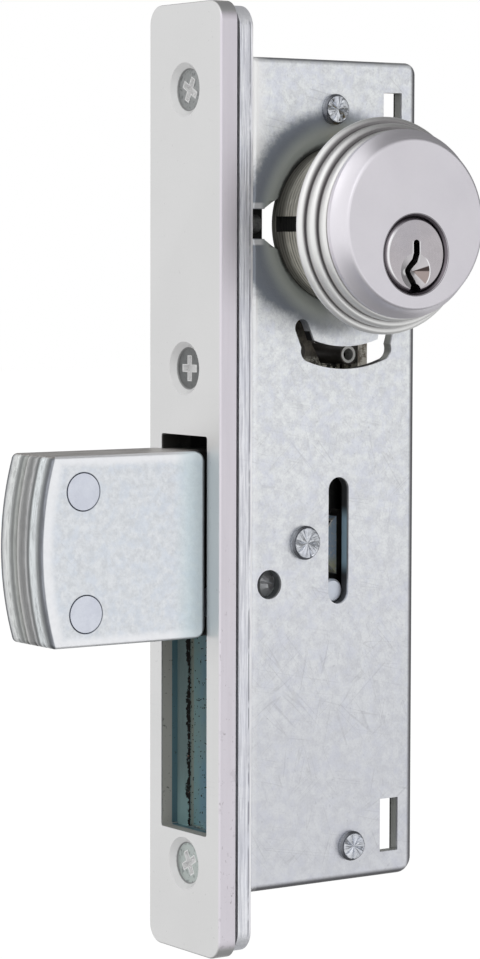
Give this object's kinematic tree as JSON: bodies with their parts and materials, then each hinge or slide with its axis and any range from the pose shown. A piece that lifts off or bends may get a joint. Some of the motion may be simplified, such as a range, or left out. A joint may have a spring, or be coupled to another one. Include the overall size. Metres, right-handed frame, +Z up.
{
  "type": "mortise door lock",
  "caption": "Narrow-stile mortise deadlock: a laminated bolt swings out of a slim pressed case, moved by a screw-in key cylinder.",
  "frame": {"origin": "on the faceplate's front face, on its centreline, level with the cylinder's axis", "axes": "+X from the faceplate into the door, +Z up along the faceplate, -Y towards the key side"},
  "size_m": [0.0834, 0.0444, 0.1746],
  "materials": {
    "faceplate": "satin anodised",
    "screws": "zinc plated",
    "front_plate": "zinc plated, sheared edges",
    "case": "bright zinc plated",
    "rivets": "zinc plated, star peened",
    "inner_steel": "plain",
    "set_screws": "blackened",
    "cylinder": "satin nickel plated",
    "ring": "satin",
    "pin_brass": "turned",
    "spring_steel": "drawn",
    "plug": "polished nickel plated",
    "cam": "yellow passivated",
    "bolt": "bright zinc plated",
    "bolt_core": "zinc plated",
    "bolt_rivets": "ground flush",
    "lever": "yellow passivated",
    "drive_pin": "zinc plated"
  },
  "bodies": {
    "case": {"faceplate": "faceplate", "faceplate_screws": "screws", "front_plate": "front_plate", "near_case_shell": "case", "far_case_shell": "case", "case_rivets": "rivets", "lever_guide_studs": "rivets", "bolt_pivot_pin": "rivets", "pivot_spacers": "inner_steel", "cylinder_set_screws": "set_screws", "cylinder_body": "cylinder", "cylinder_ring": "ring", "chamber_cover": "pin_brass", "driver_pins": "pin_brass", "pin_springs": "spring_steel"},
    "bolt": {"bolt_near_cheek": "bolt", "bolt_near_core_ply": "bolt_core", "bolt_centre_ply": "bolt_core", "bolt_far_core_ply": "bolt_core", "bolt_far_cheek": "bolt", "bolt_cheek_rivets": "bolt_rivets", "bolt_core_rivet": "bolt_rivets", "bolt_pivot_bush": "inner_steel"},
    "lift_lever": {"lift_lever": "lever", "drive_pin": "drive_pin"},
    "plug": {"key_plug": "plug", "key_pins": "pin_brass", "cylinder_cam": "cam", "cam_screws": "inner_steel"}
  },
  "joints": [
    {"name": "bolt_pivot", "type": "hinge", "parent": "case", "child": "bolt", "pos_m": [0.01907, 0, -0.05855], "axis": [0, -1, 0], "range_deg": [0, 90]},
    {"name": "lever_lift", "type": "slide", "parent": "case", "child": "lift_lever", "axis": [0, 0, 1], "range_m": [0, 0.019]},
    {"name": "plug_turn", "type": "hinge", "parent": "case", "child": "plug", "pos_m": [0.02857, 0, -0.0055], "axis": [0, 1, 0], "range_deg": [0, 104.68]}
  ],
  "couplings": [
    {"joint": "lever_lift", "follows": "bolt_pivot", "m_per_rad": 0.012096},
    {"joint": "plug_turn", "follows": "bolt_pivot", "ratio": 1.1631}
  ]
}
